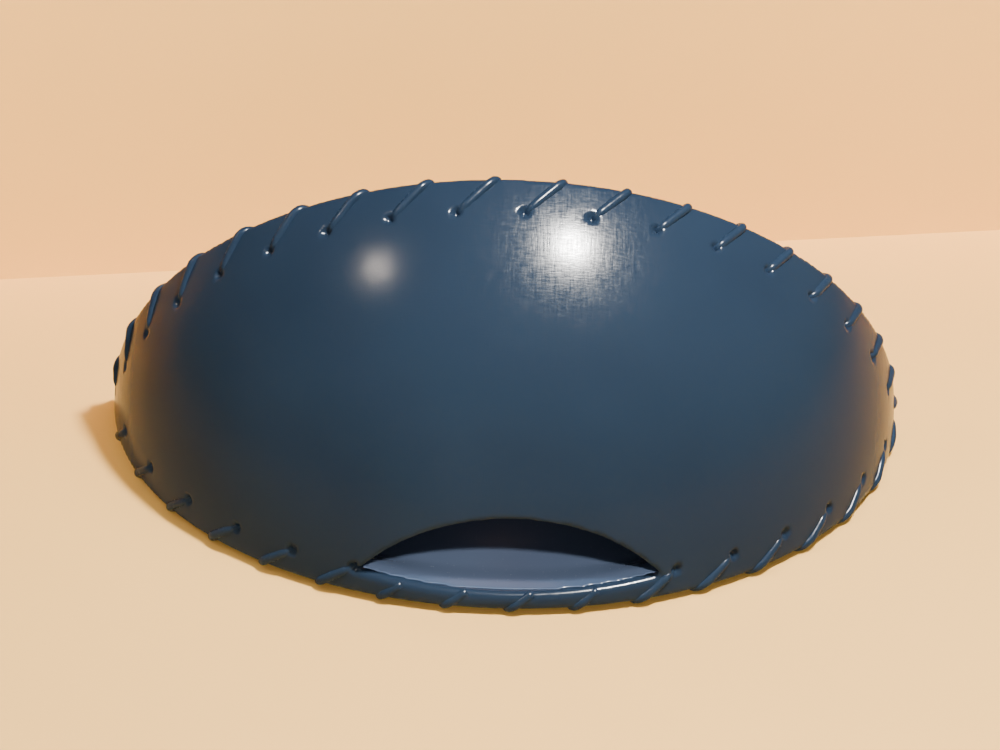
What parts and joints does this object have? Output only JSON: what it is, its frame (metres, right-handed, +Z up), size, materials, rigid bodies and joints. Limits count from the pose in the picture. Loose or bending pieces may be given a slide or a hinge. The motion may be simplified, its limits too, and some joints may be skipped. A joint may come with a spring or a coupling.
{
  "type": "stitched pottery vessel",
  "caption": "Hollow wedge-shaped pottery vessel with a curved laced front shell, flat base and back panels, and a low arched mouth.",
  "frame": {"origin": "middle of the flat underside of the foot, on the surface that the vessel stands on", "axes": "+X along the straight rear edge, to the right as seen from the front; -Y toward the front; +Z up"},
  "size_m": [0.3006, 0.1513, 0.1336],
  "materials": {
    "blue_glaze_shell": "satin blue glaze with faint crossed brush marks",
    "blue_glaze_panels": "satin blue glaze",
    "blue_glaze_stitches": "glossy blue glaze"
  },
  "bodies": {
    "root": {"front_shell": "blue_glaze_shell", "base_panel": "blue_glaze_panels", "back_panel": "blue_glaze_panels", "upper_stitch_01": "blue_glaze_stitches", "upper_stitch_02": "blue_glaze_stitches", "upper_stitch_03": "blue_glaze_stitches", "upper_stitch_04": "blue_glaze_stitches", "upper_stitch_05": "blue_glaze_stitches", "upper_stitch_06": "blue_glaze_stitches", "upper_stitch_07": "blue_glaze_stitches", "upper_stitch_08": "blue_glaze_stitches", "upper_stitch_09": "blue_glaze_stitches", "upper_stitch_10": "blue_glaze_stitches", "upper_stitch_11": "blue_glaze_stitches", "upper_stitch_12": "blue_glaze_stitches", "upper_stitch_13": "blue_glaze_stitches", "upper_stitch_14": "blue_glaze_stitches", "upper_stitch_15": "blue_glaze_stitches", "upper_stitch_16": "blue_glaze_stitches", "upper_stitch_17": "blue_glaze_stitches", "upper_stitch_18": "blue_glaze_stitches", "upper_stitch_19": "blue_glaze_stitches", "lower_stitch_01": "blue_glaze_stitches", "lower_stitch_02": "blue_glaze_stitches", "lower_stitch_03": "blue_glaze_stitches", "lower_stitch_04": "blue_glaze_stitches", "lower_stitch_05": "blue_glaze_stitches", "lower_stitch_06": "blue_glaze_stitches", "lower_stitch_07": "blue_glaze_stitches", "lower_stitch_08": "blue_glaze_stitches", "lower_stitch_09": "blue_glaze_stitches", "lower_stitch_10": "blue_glaze_stitches", "lower_stitch_11": "blue_glaze_stitches", "lower_stitch_12": "blue_glaze_stitches", "lower_stitch_13": "blue_glaze_stitches", "lower_stitch_14": "blue_glaze_stitches", "lower_stitch_15": "blue_glaze_stitches", "lower_stitch_16": "blue_glaze_stitches", "lower_stitch_17": "blue_glaze_stitches"}
  },
  "joints": []
}
